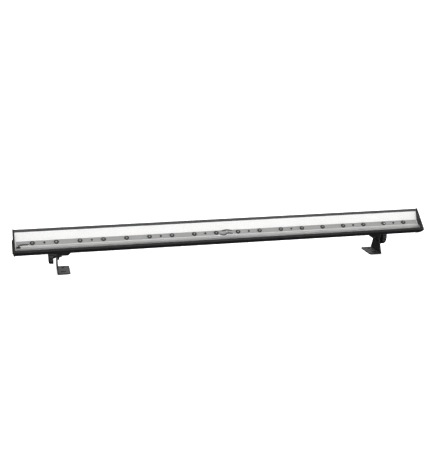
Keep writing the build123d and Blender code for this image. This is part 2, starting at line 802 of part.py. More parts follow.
def weld_nut(side):
    with BuildPart() as nut:
        with BuildSketch(cross_plane(side * ear_inner_x)):
            with Locations((pivot_y, pivot_height)):
                RegularPolygon(radius=nut_across_flats / 2, side_count=6, major_radius=False)
                Circle(stud_radius + pivot_clearance, mode=Mode.SUBTRACT)
        extrude(amount=-side * nut_height)
    return nut


def knob(side):
    """A lobed knob: a scalloped disc with a rounded rim, a hub, a dish and a bore."""
    inner_face_x = leg_outer_x + knob_standoff
    hub_face_x = leg_outer_x + washer_thickness + 2 * face_play
    scallop_circle = knob_radius + knob_scallop_radius - knob_scallop_bite
    middle = (side * inner_face_x, pivot_y, pivot_height)
    with BuildPart() as grip:
        with BuildSketch(cross_plane(side * inner_face_x)) as rim:
            with Locations((pivot_y, pivot_height)):
                Circle(knob_radius)
                with PolarLocations(scallop_circle, knob_scallops):
                    Circle(knob_scallop_radius, mode=Mode.SUBTRACT)
            fillet(rim.vertices(), radius=knob_lobe_radius)
        extrude(amount=side * knob_thickness)
        with BuildSketch(Plane(origin=middle, x_dir=(0, 1, 0), z_dir=(0, 0, -side))) as profile:
            Rectangle(knob_radius, knob_thickness, align=(Align.MIN, Align.MIN))
            corners = profile.vertices().group_by(Axis.X)[-1].sort_by(Axis.Y)
            fillet(corners[-1], radius=knob_rim_radius)
            fillet(corners[0], radius=knob_back_radius)
        revolve(axis=Axis(middle, (1, 0, 0)), mode=Mode.INTERSECT)
        with BuildSketch(cross_plane(side * hub_face_x)):
            with Locations((pivot_y, pivot_height)):
                Circle(knob_hub_radius)
        extrude(amount=side * (inner_face_x - hub_face_x))
        with BuildSketch(cross_plane(side * (inner_face_x + knob_thickness))):
            with Locations((pivot_y, pivot_height)):
                Circle(knob_dish_radius)
        extrude(amount=-side * knob_dish_depth, mode=Mode.SUBTRACT)
        with BuildSketch(cross_plane(side * hub_face_x)):
            with Locations((pivot_y, pivot_height)):
                Circle(stud_radius + stud_glue_gap)
        extrude(amount=side * (inner_face_x + stud_in_knob - hub_face_x), mode=Mode.SUBTRACT)
    return grip


def stud(side):
    tip_x = ear_inner_x - nut_height - stud_past_nut
    with BuildPart() as rod:
        with BuildSketch(cross_plane(side * tip_x)):
            with Locations((pivot_y, pivot_height)):
                Circle(stud_radius)
        extrude(amount=side * (leg_outer_x + knob_standoff + stud_in_knob - tip_x))
        tip_face = rod.faces().sort_by(Axis.X)[0 if side > 0 else -1]
        chamfer(tip_face.edges(), length=stud_chamfer)
    return rod


for side, name in ((-1, "left"), (1, "right")):
    bore = stud_radius + pivot_clearance
    friction_from = side * (ear_outer_x + face_play)
    friction_to = side * (leg_inner_x - face_play)
    washer_from = side * (leg_outer_x + face_play)
    washer_to = side * (leg_outer_x + face_play + washer_thickness)
    save(foot(side), f"{name}_foot")
    save(weld_nut(side), f"{name}_weld_nut")
    save(ring(friction_from, friction_to, friction_washer_radius, bore), f"{name}_friction_washer")
    save(ring(washer_from, washer_to, washer_radius, bore), f"{name}_knob_washer")
    save(stud(side), f"{name}_stud")
    save(knob(side), f"{name}_knob")
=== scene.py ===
import json
import math
import random

import bmesh
import bpy
from mathutils import Matrix, Vector


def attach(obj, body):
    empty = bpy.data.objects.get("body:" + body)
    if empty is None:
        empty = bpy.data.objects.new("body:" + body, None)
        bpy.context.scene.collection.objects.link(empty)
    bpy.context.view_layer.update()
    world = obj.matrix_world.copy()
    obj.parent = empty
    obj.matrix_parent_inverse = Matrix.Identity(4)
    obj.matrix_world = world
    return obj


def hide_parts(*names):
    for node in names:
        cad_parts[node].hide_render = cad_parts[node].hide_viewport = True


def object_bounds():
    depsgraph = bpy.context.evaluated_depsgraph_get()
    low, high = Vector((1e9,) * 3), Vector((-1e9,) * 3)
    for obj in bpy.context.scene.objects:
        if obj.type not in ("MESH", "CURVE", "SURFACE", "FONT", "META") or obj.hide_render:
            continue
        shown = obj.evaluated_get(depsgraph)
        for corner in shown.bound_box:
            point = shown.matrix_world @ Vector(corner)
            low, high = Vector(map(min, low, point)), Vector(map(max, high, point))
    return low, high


# LED strip batten: the looks of every visible piece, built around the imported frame.
# Metres, in the frame of the CAD model: +X along the bar, +Y away from the lit side, +Z up.

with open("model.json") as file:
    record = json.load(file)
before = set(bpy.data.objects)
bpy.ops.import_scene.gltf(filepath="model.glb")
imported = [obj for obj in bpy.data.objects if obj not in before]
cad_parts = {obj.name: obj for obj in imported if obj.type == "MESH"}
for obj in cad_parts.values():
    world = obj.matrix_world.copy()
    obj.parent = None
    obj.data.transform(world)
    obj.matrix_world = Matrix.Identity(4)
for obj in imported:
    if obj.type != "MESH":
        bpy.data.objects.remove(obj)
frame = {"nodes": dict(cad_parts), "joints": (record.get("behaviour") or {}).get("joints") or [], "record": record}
cad_low, cad_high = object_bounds()
random.seed(7)

MM = 0.001
TURN = 2 * math.pi

# ---- places that the CAD model gives ---------------------------------------------------------
AIM = math.radians(47)                  # the window's normal above the horizon
PIVOT_DEPTH = 67.5 * MM                 # the tilt axis below the window
PIVOT_UP = -3 * MM                      # the tilt axis up the window from its middle line
ALONG = Vector((1, 0, 0))
FACE_NORMAL = Vector((0, -math.cos(AIM), math.sin(AIM)))
FACE_UP = Vector((0, math.sin(AIM), math.cos(AIM)))

joint_place = {joint["name"]: Vector(joint["pos_m"]) for joint in frame["joints"]}
pivot = joint_place["right_foot_tilt"]
window_middle = Vector((0, pivot.y, pivot.z)) + FACE_NORMAL * PIVOT_DEPTH - FACE_UP * PIVOT_UP

TRAY_RIM_DEPTH = 5.45 * MM
TRAY_WALL_TOP = 27 * MM
TRAY_FLOOR_HALF_WIDTH = 6.8 * MM
TRAY_FLOOR_DEPTH = 15.1 * MM
TRAY_SLOPE = math.atan2(TRAY_FLOOR_DEPTH - TRAY_RIM_DEPTH, TRAY_WALL_TOP - TRAY_FLOOR_HALF_WIDTH)
BOARD_TOP_DEPTH = 13.5 * MM
LED_COUNT = 18
LED_PITCH = 56 * MM
BAR_DEPTH = 44 * MM
BAR_HALF_WIDTH = 32.5 * MM
CAP_FACE = 521 * MM                     # outer face of each end cap
LEG_OUTER = 421 * MM                    # outer face of each leg
LEG_INNER = 418 * MM
EAR_INNER = 414 * MM                    # inner face of each bracket's ear


def bar_matrix(x, up, depth):
    """Local x along the bar, y up the window, z out of it, at a place inside the bar."""
    place = window_middle + Vector((x, 0, 0)) + FACE_UP * up - FACE_NORMAL * depth
    return Matrix.Translation(place) @ Matrix((ALONG, FACE_UP, FACE_NORMAL)).transposed().to_4x4()


def pivot_matrix(side, x):
    """Local z points out of the bar's end along the tilt axis, local y is up."""
    out = Vector((side, 0, 0))
    up = Vector((0, 0, 1))
    across = up.cross(out)
    place = Vector((side * x, pivot.y, pivot.z))
    return Matrix.Translation(place) @ Matrix((across, up, out)).transposed().to_4x4()


# ---- camera ----------------------------------------------------------------------------------
CAMERA_PLACE = Vector((-0.4901, -1.9997, 0.6355))
CAMERA_YAW = math.radians(13.427)       # towards +X
CAMERA_PITCH = math.radians(15.463)     # below the horizon
CAMERA_ROLL = math.radians(0.391)
CAMERA_LENS_MM = 64.147
CAMERA_SENSOR_MM = 36


def make_camera():
    lens = bpy.data.cameras.new("camera")
    lens.sensor_width = CAMERA_SENSOR_MM
    lens.lens = CAMERA_LENS_MM
    lens.clip_start = 0.05
    lens.clip_end = 100
    forward = Vector((
        math.sin(CAMERA_YAW) * math.cos(CAMERA_PITCH),
        math.cos(CAMERA_YAW) * math.cos(CAMERA_PITCH),
        -math.sin(CAMERA_PITCH),
    ))
    level = Vector((math.cos(CAMERA_YAW), -math.sin(CAMERA_YAW), 0))
    above = level.cross(forward)
    right = level * math.cos(CAMERA_ROLL) + above * math.sin(CAMERA_ROLL)
    up = above * math.cos(CAMERA_ROLL) - level * math.sin(CAMERA_ROLL)
    camera = bpy.data.objects.new("camera", lens)
    turn = Matrix((right, up, -forward)).transposed().to_4x4()
    camera.matrix_world = Matrix.Translation(CAMERA_PLACE) @ turn
    bpy.context.scene.collection.objects.link(camera)
    bpy.context.scene.camera = camera


make_camera()
bpy.context.scene.view_settings.view_transform = "Standard"


# ---- node helpers ----------------------------------------------------------------------------
def new_material(name, colour, roughness, metallic=0.0, specular=0.5):
    """A material whose principled shader has these even values."""
    material = bpy.data.materials.new(name)
    material.use_nodes = True
    shader = material.node_tree.nodes["Principled BSDF"]
    shader.inputs["Base Color"].default_value = (*colour, 1)
    shader.inputs["Roughness"].default_value = roughness
    shader.inputs["Metallic"].default_value = metallic
    shader.inputs["Specular IOR Level"].default_value = specular
    return material, shader


def add_node(material, kind, **values):
    node = material.node_tree.nodes.new(kind)
    for name, value in values.items():
        setattr(node, name, value)
    return node


def link(material, output, target):
    material.node_tree.links.new(output, target)


def coordinates(material, stretch=(1, 1, 1)):
    """Places in the object's own frame, in metres, stretched along its axes."""
    source = add_node(material, "ShaderNodeTexCoord")
    mapping = add_node(material, "ShaderNodeMapping")
    mapping.inputs["Scale"].default_value = stretch
    link(material, source.outputs["Object"], mapping.inputs["Vector"])
    return mapping.outputs["Vector"]


def noise(material, size, detail=3.0, stretch=(1, 1, 1)):
    """Soft noise whose features measure about size metres."""
    texture = add_node(material, "ShaderNodeTexNoise")
    texture.inputs["Scale"].default_value = 1 / size
    texture.inputs["Detail"].default_value = detail
    link(material, coordinates(material, stretch), texture.inputs["Vector"])
    return texture.outputs["Fac"]


def ramp(material, factor, low, high, start=0.0, end=1.0):
    """Maps a factor between two places to a value between two values, clamped."""
    mapped = add_node(material, "ShaderNodeMapRange", clamp=True)
    for name, value in (("From Min", start), ("From Max", end), ("To Min", low), ("To Max", high)):
        mapped.inputs[name].default_value = value
    link(material, factor, mapped.inputs["Value"])
    return mapped.outputs["Result"]


def mix_colour(material, factor, first, second):
    """Mixes two colours, each a tuple or an output, by a factor output."""
    mixer = add_node(material, "ShaderNodeMix", data_type="RGBA")
    link(material, factor, mixer.inputs["Factor"])
    for name, value in (("A", first), ("B", second)):
        socket = next(s for s in mixer.inputs if s.name == name and s.type == "RGBA")
        if isinstance(value, tuple):
            socket.default_value = (*value, 1)
        else:
            link(material, value, socket)
    return next(s for s in mixer.outputs if s.type == "RGBA")


def multiply(material, first, second):
    product = add_node(material, "ShaderNodeMath", operation="MULTIPLY")
    link(material, first, product.inputs[0])
    link(material, second, product.inputs[1])
    return product.outputs[0]


def bump(material, shader, height, distance, strength=1.0, under=None):
    """Adds relief of this depth in metres, over an earlier bump's normal if there is one."""
    node = add_node(material, "ShaderNodeBump")
    node.inputs["Distance"].default_value = distance
    node.inputs["Strength"].default_value = strength
    link(material, height, node.inputs["Height"])
    if under is not None:
        link(material, under, node.inputs["Normal"])
    link(material, node.outputs["Normal"], shader.inputs["Normal"])
    return node.outputs["Normal"]


SHARP_COSINE = 0.86                     # between the rounded and the plain normal, at an edge
FLAT_COSINE = 0.99
BEVEL_SAMPLES = 4


def edge_mask(material, radius):
    """1 along sharp outer edges, 0 on open faces."""
    rounded = add_node(material, "ShaderNodeBevel", samples=BEVEL_SAMPLES)
    rounded.inputs["Radius"].default_value = radius
    plain = add_node(material, "ShaderNodeNewGeometry")
    compare = add_node(material, "ShaderNodeVectorMath", operation="DOT_PRODUCT")
    link(material, rounded.outputs["Normal"], compare.inputs[0])
    link(material, plain.outputs["Normal"], compare.inputs[1])
    return ramp(material, compare.outputs["Value"], 1, 0, SHARP_COSINE, FLAT_COSINE)


def rounded_edges(material, radius):
    """A normal that softens edges by this radius."""
    rounded = add_node(material, "ShaderNodeBevel", samples=BEVEL_SAMPLES)
    rounded.inputs["Radius"].default_value = radius
    return rounded.outputs["Normal"]


# ---- finishes --------------------------------------------------------------------------------
def reach_along(material, direction):
    """How far a point lies from the window's middle along a direction, in metres."""
    source = add_node(material, "ShaderNodeTexCoord")
    project = add_node(material, "ShaderNodeVectorMath", operation="DOT_PRODUCT")
    project.inputs[1].default_value = direction
    link(material, source.outputs["Object"], project.inputs[0])
    centred = add_node(material, "ShaderNodeMath", operation="SUBTRACT")
    centred.inputs[1].default_value = window_middle.dot(direction)
    link(material, project.outputs["Value"], centred.inputs[0])
    return centred.outputs[0]


def coated_metal(name, colour, worn, grain, roughness=(0.42, 0.56), painted_lip_highlight=None, specular=0.3):
    """Paint or powder on metal: orange peel, cloudy gloss, rubbed edges and a painted highlight that lightens the
    front lip faces, most on the upper lip.
    """
    material, shader = new_material(name, colour, roughness[0], specular=specular)
    cloud = noise(material, 22 * MM, 4)
    edge = edge_mask(material, 0.5 * MM)
    rub = multiply(material, edge, ramp(material, noise(material, 3 * MM, 5), 0, 1, 0.42, 0.62))
    tinted = mix_colour(material, cloud, tuple(0.82 * c for c in colour), tuple(1.2 * c for c in colour))
    # painted highlight: the front lip faces are painted paler than the body, grading from the lower lip's colour
    # up to the palest upper lip
    if painted_lip_highlight is not None:
        front = ramp(material, reach_along(material, FACE_NORMAL), 0, 1, -0.6 * MM, -0.3 * MM)
        height = ramp(material, reach_along(material, FACE_UP), 0, 1, -BAR_HALF_WIDTH, BAR_HALF_WIDTH)
        tinted = mix_colour(material, front, tinted, mix_colour(material, height, *painted_lip_highlight))
    link(material, mix_colour(material, rub, tinted, worn), shader.inputs["Base Color"])
    link(material, ramp(material, cloud, roughness[0], roughness[1], 0.3, 0.7), shader.inputs["Roughness"])
    softened = rounded_edges(material, 0.35 * MM)
    peel = noise(material, grain, 2, (0.04, 1, 1) if painted_lip_highlight else (1, 1, 1))
    bump(material, shader, peel, 0.03 * MM, 0.5, softened)
    return material


def moulded_plastic(name, colour, grain=0.45 * MM, roughness=(0.45, 0.6), relief=0.04 * MM, specular=0.4):
    """Plastic with a fine eroded grain, and a painted highlight that lightens every sharp edge."""
    material, shader = new_material(name, colour, roughness[0], specular=specular)
    cloud = noise(material, 12 * MM, 3)
    edge = edge_mask(material, 0.6 * MM)
    tinted = mix_colour(material, cloud, tuple(0.85 * c for c in colour), tuple(1.15 * c for c in colour))
    # painted highlight: every sharp edge is painted 1.7 times lighter than the plastic
    link(
        material,
        mix_colour(material, edge, tinted, tuple(1.7 * c for c in colour)),
        shader.inputs["Base Color"],
    )
    link(material, ramp(material, cloud, roughness[1], roughness[0], 0.3, 0.7), shader.inputs["Roughness"])
    softened = rounded_edges(material, 0.3 * MM)
    bump(material, shader, noise(material, grain, 2), relief, 0.6, softened)
    return material


def bare_metal(name, colour, roughness=(0.22, 0.4), tint=None, scratch=(1, 1, 1), grain=0.25 * MM):
    """Plated or plain metal with cloudy plating and fine marks."""
    material, shader = new_material(name, colour, roughness[0], metallic=1.0)
    cloud = noise(material, 4 * MM, 4)
    other = tint or tuple(0.8 * c for c in colour)
    link(material, mix_colour(material, cloud, colour, other), shader.inputs["Base Color"])
    marks = noise(material, grain, 3, scratch)
    link(material, ramp(material, marks, roughness[0], roughness[1], 0.3, 0.7), shader.inputs["Roughness"])
    bump(material, shader, marks, 0.01 * MM, 0.5, rounded_edges(material, 0.12 * MM))
    return material


def painted_sheet(name, colour, shade):
    """Satin white paint on a reflector: rolled lines along it, faint clouds and dust."""
    material, shader = new_material(name, colour, 0.34)
    cloud = noise(material, 45 * MM, 4, (0.3, 1, 1))
    dust = ramp(material, noise(material, 1.2 * MM, 2), 0, 0.35, 0.7, 0.8)
    tinted = mix_colour(material, cloud, colour, shade)
    dusty = mix_colour(material, dust, tinted, tuple(0.75 * c for c in shade))
    link(material, dusty, shader.inputs["Base Color"])
    link(material, ramp(material, cloud, 0.3, 0.42, 0.3, 0.7), shader.inputs["Roughness"])
    rolled = bump(material, shader, noise(material, 1.6 * MM, 2, (0.03, 1, 1)), 0.02 * MM, 0.4)
    bump(material, shader, noise(material, 0.9 * MM, 1), 0.015 * MM, 0.3, rolled)
    return material


POUR_EDGE = 5.5 * MM                    # from the board's middle line to the pours' outer edges
POUR_GAP = 0.25 * MM                    # half the gap between the two pours
CELL_GAP = 0.5 * MM                     # half the gap between one emitter's pours and the next
POUR_FADE = 0.2 * MM


def board_mask_finish(name, colour, pour_colour):
    """White solder mask over copper pours that end short of the board's edges and at each emitter."""
    material, shader = new_material(name, colour, 0.4)
    off_middle = add_node(material, "ShaderNodeMath", operation="ABSOLUTE")
    link(material, reach_along(material, FACE_UP), off_middle.inputs[0])
    inside = ramp(material, off_middle.outputs[0], 1, 0, POUR_EDGE, POUR_EDGE + POUR_FADE)
    middle_gap = ramp(material, off_middle.outputs[0], 0, 1, POUR_GAP, POUR_GAP + POUR_FADE)
    cell = add_node(material, "ShaderNodeMath", operation="PINGPONG")
    cell.inputs[1].default_value = LED_PITCH / 2
    link(material, reach_along(material, ALONG), cell.inputs[0])
    cell_edge = LED_PITCH / 2 - CELL_GAP
    cross_gap = ramp(material, cell.outputs[0], 1, 0, cell_edge - POUR_FADE, cell_edge)
    pour = multiply(material, multiply(material, inside, middle_gap), cross_gap)
    link(material, mix_colour(material, pour, colour, pour_colour), shader.inputs["Base Color"])
    relief = bump(material, shader, pour, 0.035 * MM, 0.8)
    bump(material, shader, noise(material, 0.4 * MM, 2), 0.01 * MM, 0.3, relief)
    gloss = ramp(material, noise(material, 9 * MM, 3), 0.3, 0.45, 0.3, 0.7)
    link(material, gloss, shader.inputs["Roughness"])
    return material


GLOSS_POWER = 5                         # how fast the gloss rises towards grazing views


def clear_sheet(name, tint, head_on=0.04, roughness=0.04):
    """Clear plastic: what is behind it shows, with a gloss that grows towards grazing views."""
    material, shader = new_material(name, (1, 1, 1), roughness)
    nodes = material.node_tree.nodes
    nodes.remove(shader)
    output = next(n for n in nodes if n.type == "OUTPUT_MATERIAL")
    through = add_node(material, "ShaderNodeBsdfTransparent")
    haze = noise(material, 60 * MM, 3)
    hazy = mix_colour(material, haze, tint, tuple(0.985 * c for c in tint))
    link(material, hazy, through.inputs["Color"])
    gloss = add_node(material, "ShaderNodeBsdfGlossy")
    gloss.inputs["Color"].default_value = (1, 1, 1, 1)
    smears = ramp(material, noise(material, 18 * MM, 4), roughness, 2.5 * roughness, 0.45, 0.7)
    link(material, smears, gloss.inputs["Roughness"])
    weight = add_node(material, "ShaderNodeLayerWeight")
    slant = add_node(material, "ShaderNodeMath", operation="POWER")
    slant.inputs[1].default_value = GLOSS_POWER
    link(material, weight.outputs["Facing"], slant.inputs[0])
    mixer = add_node(material, "ShaderNodeMixShader")
    link(material, ramp(material, slant.outputs[0], head_on, 1), mixer.inputs["Fac"])
    link(material, through.outputs["BSDF"], mixer.inputs[1])
    link(material, gloss.outputs["BSDF"], mixer.inputs[2])
    link(material, mixer.outputs["Shader"], output.inputs["Surface"])
    return material


GREY_EDGE = (0.13, 0.13, 0.133)

finishes = {
    "housing_black": coated_metal(
        "housing_black", (0.008, 0.0082, 0.009), GREY_EDGE, 0.5 * MM, (0.46, 0.54),
        # painted highlight on the front lip faces: the lower lip's colour, then the upper lip's
        painted_lip_highlight=((0.018, 0.018, 0.019), (0.07, 0.07, 0.072)), specular=0.4,
    ),
    "cap_black": moulded_plastic("cap_black", (0.02, 0.02, 0.022)),
    "black_screw": coated_metal(
        "black_screw", (0.03, 0.03, 0.032), (0.25, 0.25, 0.25), 0.3 * MM, (0.3, 0.42),
    ),
    "clear_cover": clear_sheet("clear_cover", (0.99, 0.99, 0.987)),
    "reflector_white": painted_sheet("reflector_white", (0.9, 0.9, 0.9), (0.84, 0.84, 0.84)),
    "board_white": board_mask_finish("board_white", (0.5, 0.503, 0.5), (0.43, 0.433, 0.43)),
    "board_green": moulded_plastic(
        "board_green", (0.03, 0.16, 0.07), 0.6 * MM, (0.3, 0.42), 0.01 * MM,
    ),
    "emitter": moulded_plastic(
        "emitter", (0.022, 0.022, 0.024), 0.3 * MM, (0.35, 0.5), 0.015 * MM,
    ),
    "wire_black": moulded_plastic(
        "wire_black", (0.02, 0.02, 0.022), 0.8 * MM, (0.35, 0.5), 0.01 * MM,
    ),
    "grommet_rubber": moulded_plastic(
        "grommet_rubber", (0.018, 0.018, 0.018), 0.4 * MM, (0.6, 0.75),
    ),
    "bracket_black": coated_metal(
        "bracket_black", (0.008, 0.008, 0.009), GREY_EDGE, 0.7 * MM, (0.45, 0.6), specular=0.25,
    ),
    "black_zinc": coated_metal(
        "black_zinc", (0.012, 0.012, 0.014), (0.2, 0.2, 0.2), 0.2 * MM, (0.3, 0.42), specular=0.4,
    ),
    "washer_nylon": moulded_plastic("washer_nylon", (0.05, 0.05, 0.052)),
    "knob_plastic": moulded_plastic(
        "knob_plastic", (0.009, 0.009, 0.01), 0.5 * MM, (0.45, 0.6), specular=0.25,
    ),
    "inlet_plastic": moulded_plastic(
        "inlet_plastic", (0.016, 0.016, 0.017), 0.35 * MM, (0.3, 0.45),
    ),
    "contact_metal": bare_metal(
        "contact_metal", (0.75, 0.7, 0.58), (0.2, 0.35), (0.7, 0.64, 0.5),
    ),
    "terminal_plastic": moulded_plastic(
        "terminal_plastic", (0.05, 0.22, 0.1), 0.4 * MM, (0.35, 0.5),
    ),
    "fuse_glass": clear_sheet("fuse_glass", (0.9, 0.93, 0.92), 0.04, 0.02),
    "winding": bare_metal("winding", (0.55, 0.25, 0.08), (0.25, 0.4), (0.45, 0.18, 0.05)),
    "capacitor_sleeve": moulded_plastic(
        "capacitor_sleeve", (0.02, 0.025, 0.06), 2 * MM, (0.15, 0.25), 0.005 * MM,
    ),
    "heatsink_aluminium": bare_metal(
        "heatsink_aluminium", (0.72, 0.72, 0.72), (0.3, 0.45), scratch=(0.1, 1, 1),
    ),
}

dome_clear = clear_sheet("dome_clear", (0.93, 0.95, 0.93), 0.03, 0.03)
chip_phosphor = moulded_plastic("chip_phosphor", (0.62, 0.66, 0.52), 0.2 * MM, (0.5, 0.6), 0.01 * MM)
cup_grey = moulded_plastic("cup_grey", (0.2, 0.21, 0.21), 0.3 * MM, (0.3, 0.4), 0.01 * MM)
solder = bare_metal("solder", (0.7, 0.7, 0.69), (0.2, 0.35), grain=0.5 * MM)

for part in frame["record"]["subparts"]:
    cad_object = frame["nodes"][part["node"]]
    cad_object.data.materials.clear()
    cad_object.data.materials.append(finishes[part["material_slot"]])


# ---- mesh helpers ----------------------------------------------------------------------------
def lathe(bm, profile, matrix, steps=32, material=0):
    """Revolves (radius, height) points about local z; the profile runs outward, up and in again."""
    rings = []
    for radius, height in profile:
        if radius < 1e-7:
            rings.append([bm.verts.new(matrix @ Vector((0, 0, height)))])
            continue
        ring = []
        for step in range(steps):
            angle = TURN * step / steps
            point = Vector((radius * math.cos(angle), radius * math.sin(angle), height))
            ring.append(bm.verts.new(matrix @ point))
        rings.append(ring)
    skin(bm, rings, material)


def skin(bm, rings, material=0):
    """Joins rings of points by faces; a ring of one point closes the surface."""
    for lower, upper in zip(rings, rings[1:]):
        steps = max(len(lower), len(upper))
        for step in range(steps):
            after = (step + 1) % steps
            corners = [lower[step % len(lower)]]
            if len(lower) > 1:
                corners.append(lower[after])
            if len(upper) > 1:
                corners.append(upper[after])
            corners.append(upper[step % len(upper)])
            face = bm.faces.new(corners)
            face.material_index = material


def arc(middle, radius, start, end, steps):
    """Points of an arc, angles in degrees."""
    points = []
    for step in range(steps + 1):
        angle = math.radians(start + (end - start) * step / steps)
        points.append((middle[0] + radius * math.cos(angle), middle[1] + radius * math.sin(angle)))
    return points


def piece(bm, name, materials, body, nodes, sharp=35):
    """Makes the mesh one named piece that rides on a body and stands for these CAD nodes."""
    bmesh.ops.recalc_face_normals(bm, faces=bm.faces)
    mesh = bpy.data.meshes.new(name)
    bm.to_mesh(mesh)
    bm.free()
    for polygon in mesh.polygons:
        polygon.use_smooth = True
    mesh.set_sharp_from_angle(angle=math.radians(sharp))
    for material in materials:
        mesh.materials.append(material)
    made = bpy.data.objects.new(name, mesh)
    bpy.context.scene.collection.objects.link(made)
    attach(made, body)
    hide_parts(*nodes)


# ---- emitters --------------------------------------------------------------------------------
FLANGE_RADIUS = 5.6 * MM
FLANGE_HEIGHT = 1.3 * MM
BODY_RADIUS = 4.3 * MM
BODY_TOP = 2.2 * MM
DOME_RADIUS = 2.9 * MM
CUP_FLOOR = 1.5 * MM
CUP_FLOOR_RADIUS = 1.9 * MM
CHIP_SIDE = 1.4 * MM
CHIP_HEIGHT = 0.35 * MM
CHIP_TOP_SHARE = 0.92                   # its top's width, of its foot's
EASE = 0.2 * MM
LEAD_ROOT = 4.6 * MM
LEAD_REACH = 7.2 * MM
LEAD_HALF_WIDTH = 1.6 * MM
LEAD_THICKNESS = 0.4 * MM
EMITTER_STEPS = 40
PACKAGE, CUP, CHIP, DOME, LEAD = range(5)       # places in an emitter's list of materials


def lead_tab(bm, base, way):
    """A flat lead from inside the package to its end, with eased upper edges."""
    rings = []
    for inset, height in ((0, 0), (0, 0.7 * LEAD_THICKNESS), (0.3 * LEAD_THICKNESS, LEAD_THICKNESS)):
        end = way * (LEAD_REACH - inset)
        half = LEAD_HALF_WIDTH - inset
        corners = [(way * LEAD_ROOT, -half), (end, -half), (end, half), (way * LEAD_ROOT, half)]
        rings.append([bm.verts.new(base @ Vector((u, v, height))) for u, v in corners])
    skin(bm, rings, LEAD)
    for ring in (rings[0], rings[-1]):
        bm.faces.new(ring).material_index = LEAD


def emitter_piece(number, x):
    """A round package with a cup, a chip under a clear dome and two leads."""
    base = bar_matrix(x, 0, BOARD_TOP_DEPTH)
    bm = bmesh.new()
    rim = DOME_RADIUS + EASE / 2
    package = [
        (0, 0),
        (FLANGE_RADIUS - EASE, 0),
        (FLANGE_RADIUS, EASE),
        (FLANGE_RADIUS, FLANGE_HEIGHT - EASE),
        (FLANGE_RADIUS - EASE, FLANGE_HEIGHT),
        (BODY_RADIUS + EASE, FLANGE_HEIGHT),
        (BODY_RADIUS, FLANGE_HEIGHT + EASE),
        (BODY_RADIUS, BODY_TOP - EASE),
        (BODY_RADIUS - EASE, BODY_TOP),
        (rim, BODY_TOP),
    ]
    lathe(bm, package, base, EMITTER_STEPS, PACKAGE)
    cup = [
        (rim, BODY_TOP),
        (CUP_FLOOR_RADIUS + EASE, CUP_FLOOR + EASE / 2),
        (CUP_FLOOR_RADIUS, CUP_FLOOR),
        (0, CUP_FLOOR),
    ]
    lathe(bm, cup, base, EMITTER_STEPS, CUP)
    half = CHIP_SIDE / 2
    corners = [(-half, -half), (half, -half), (half, half), (-half, half)]
    low = [bm.verts.new(base @ Vector((u, v, CUP_FLOOR))) for u, v in corners]
    shrink = CHIP_TOP_SHARE
    chip_top = CUP_FLOOR + CHIP_HEIGHT
    high = [bm.verts.new(base @ Vector((shrink * u, shrink * v, chip_top))) for u, v in corners]
    skin(bm, [low, high], CHIP)
    bm.faces.new(high).material_index = CHIP
    side = arc((0, BODY_TOP), DOME_RADIUS, 0, 90, 10)
    dome = [(DOME_RADIUS, BODY_TOP - 0.05 * MM)] + side[:-1] + [(0, side[-1][1])]
    lathe(bm, dome, base, EMITTER_STEPS, DOME)
    for way in (-1, 1):
        lead_tab(bm, base, way)
    materials = [finishes["emitter"], cup_grey, chip_phosphor, dome_clear, solder]
    piece(bm, f"emitter_{number:02d}", materials, "housing", [f"led_{number:02d}"])


for number in range(1, LED_COUNT + 1):
    emitter_piece(number, (number - (LED_COUNT + 1) / 2) * LED_PITCH)


# ---- screws ----------------------------------------------------------------------------------
ARM_HALF_LENGTH = 0.55                  # of a cross recess, in head radii
ARM_HALF_WIDTH = 0.125
CORNER_ANGLE = math.degrees(math.atan2(ARM_HALF_WIDTH, ARM_HALF_LENGTH))
HEAD_ANGLES = [
    math.radians(90 * quarter + angle)
    for quarter in range(4)
    for angle in (0, CORNER_ANGLE / 2, CORNER_ANGLE, 20, 28, 36, 45, 54, 62, 70,
                  90 - CORNER_ANGLE, 90 - CORNER_ANGLE / 2)
]


def ring_of(bm, matrix, angles, radius_at, height):
    """A ring of points round local z whose radius depends on the angle."""
    points = []
    for angle in angles:
        radius = radius_at(angle)
        spot = Vector((radius * math.cos(angle), radius * math.sin(angle), height))
        points.append(bm.verts.new(matrix @ spot))
    return points


def cross_radius(angle):
    """Distance from the middle to the outline of a cross of unit head radius."""
    across, up = abs(math.cos(angle)) + 1e-9, abs(math.sin(angle)) + 1e-9
    level = min(ARM_HALF_LENGTH / across, ARM_HALF_WIDTH / up)
    upright = min(ARM_HALF_WIDTH / across, ARM_HALF_LENGTH / up)
    return max(level, upright)


def pan_screw(bm, matrix, head_radius, head_height, shank_radius, length):
    """A pan-head screw with a tapered cross recess; local z points out of its head."""
    ease = 0.12 * head_radius
    profile = [
        (0, -length),
        (shank_radius - ease, -length),
        (shank_radius, -length + ease),
        (shank_radius, 0),
        (head_radius - ease / 2, 0),
        (head_radius, ease / 2),
    ]
    rounding = 0.6 * head_height
    profile += arc((head_radius - rounding, head_height - rounding), rounding, 0, 78, 7)
    rings = []
    for radius, height in profile:
        if radius == 0:
            rings.append([bm.verts.new(matrix @ Vector((0, 0, height)))])
        else:
            rings.append(ring_of(bm, matrix, HEAD_ANGLES, lambda angle: radius, height))
    for scale, height in ((1.06, head_height), (1, head_height - 0.05 * MM), (0.8, 0.45 * head_height)):
        rings.append(ring_of(
            bm, matrix, HEAD_ANGLES, lambda angle: scale * head_radius * cross_radius(angle), height
        ))
    rings.append([bm.verts.new(matrix @ Vector((0, 0, 0.4 * head_height)))])
    skin(bm, rings)


def screw_set(name, node, places, sizes):
    bm = bmesh.new()
    for matrix in places:
        twist = Matrix.Rotation(random.uniform(0, TURN), 4, "Z")
        pan_screw(bm, matrix @ twist, *sizes)
    piece(bm, name, [finishes["black_screw"]], "housing", [node], 30)


# Screws: head radius, head height, shank radius and length.
BOARD_SCREW = (2.7 * MM, 1.6 * MM, 1.45 * MM, 6 * MM)
BRACKET_SCREW = (4.6 * MM, 2.8 * MM, 2.4 * MM, 9 * MM)
CAP_SCREW_HEAD_HEIGHT = 1.7 * MM
CAP_SCREW = (2.6 * MM, CAP_SCREW_HEAD_HEIGHT, 1.45 * MM, 12 * MM)

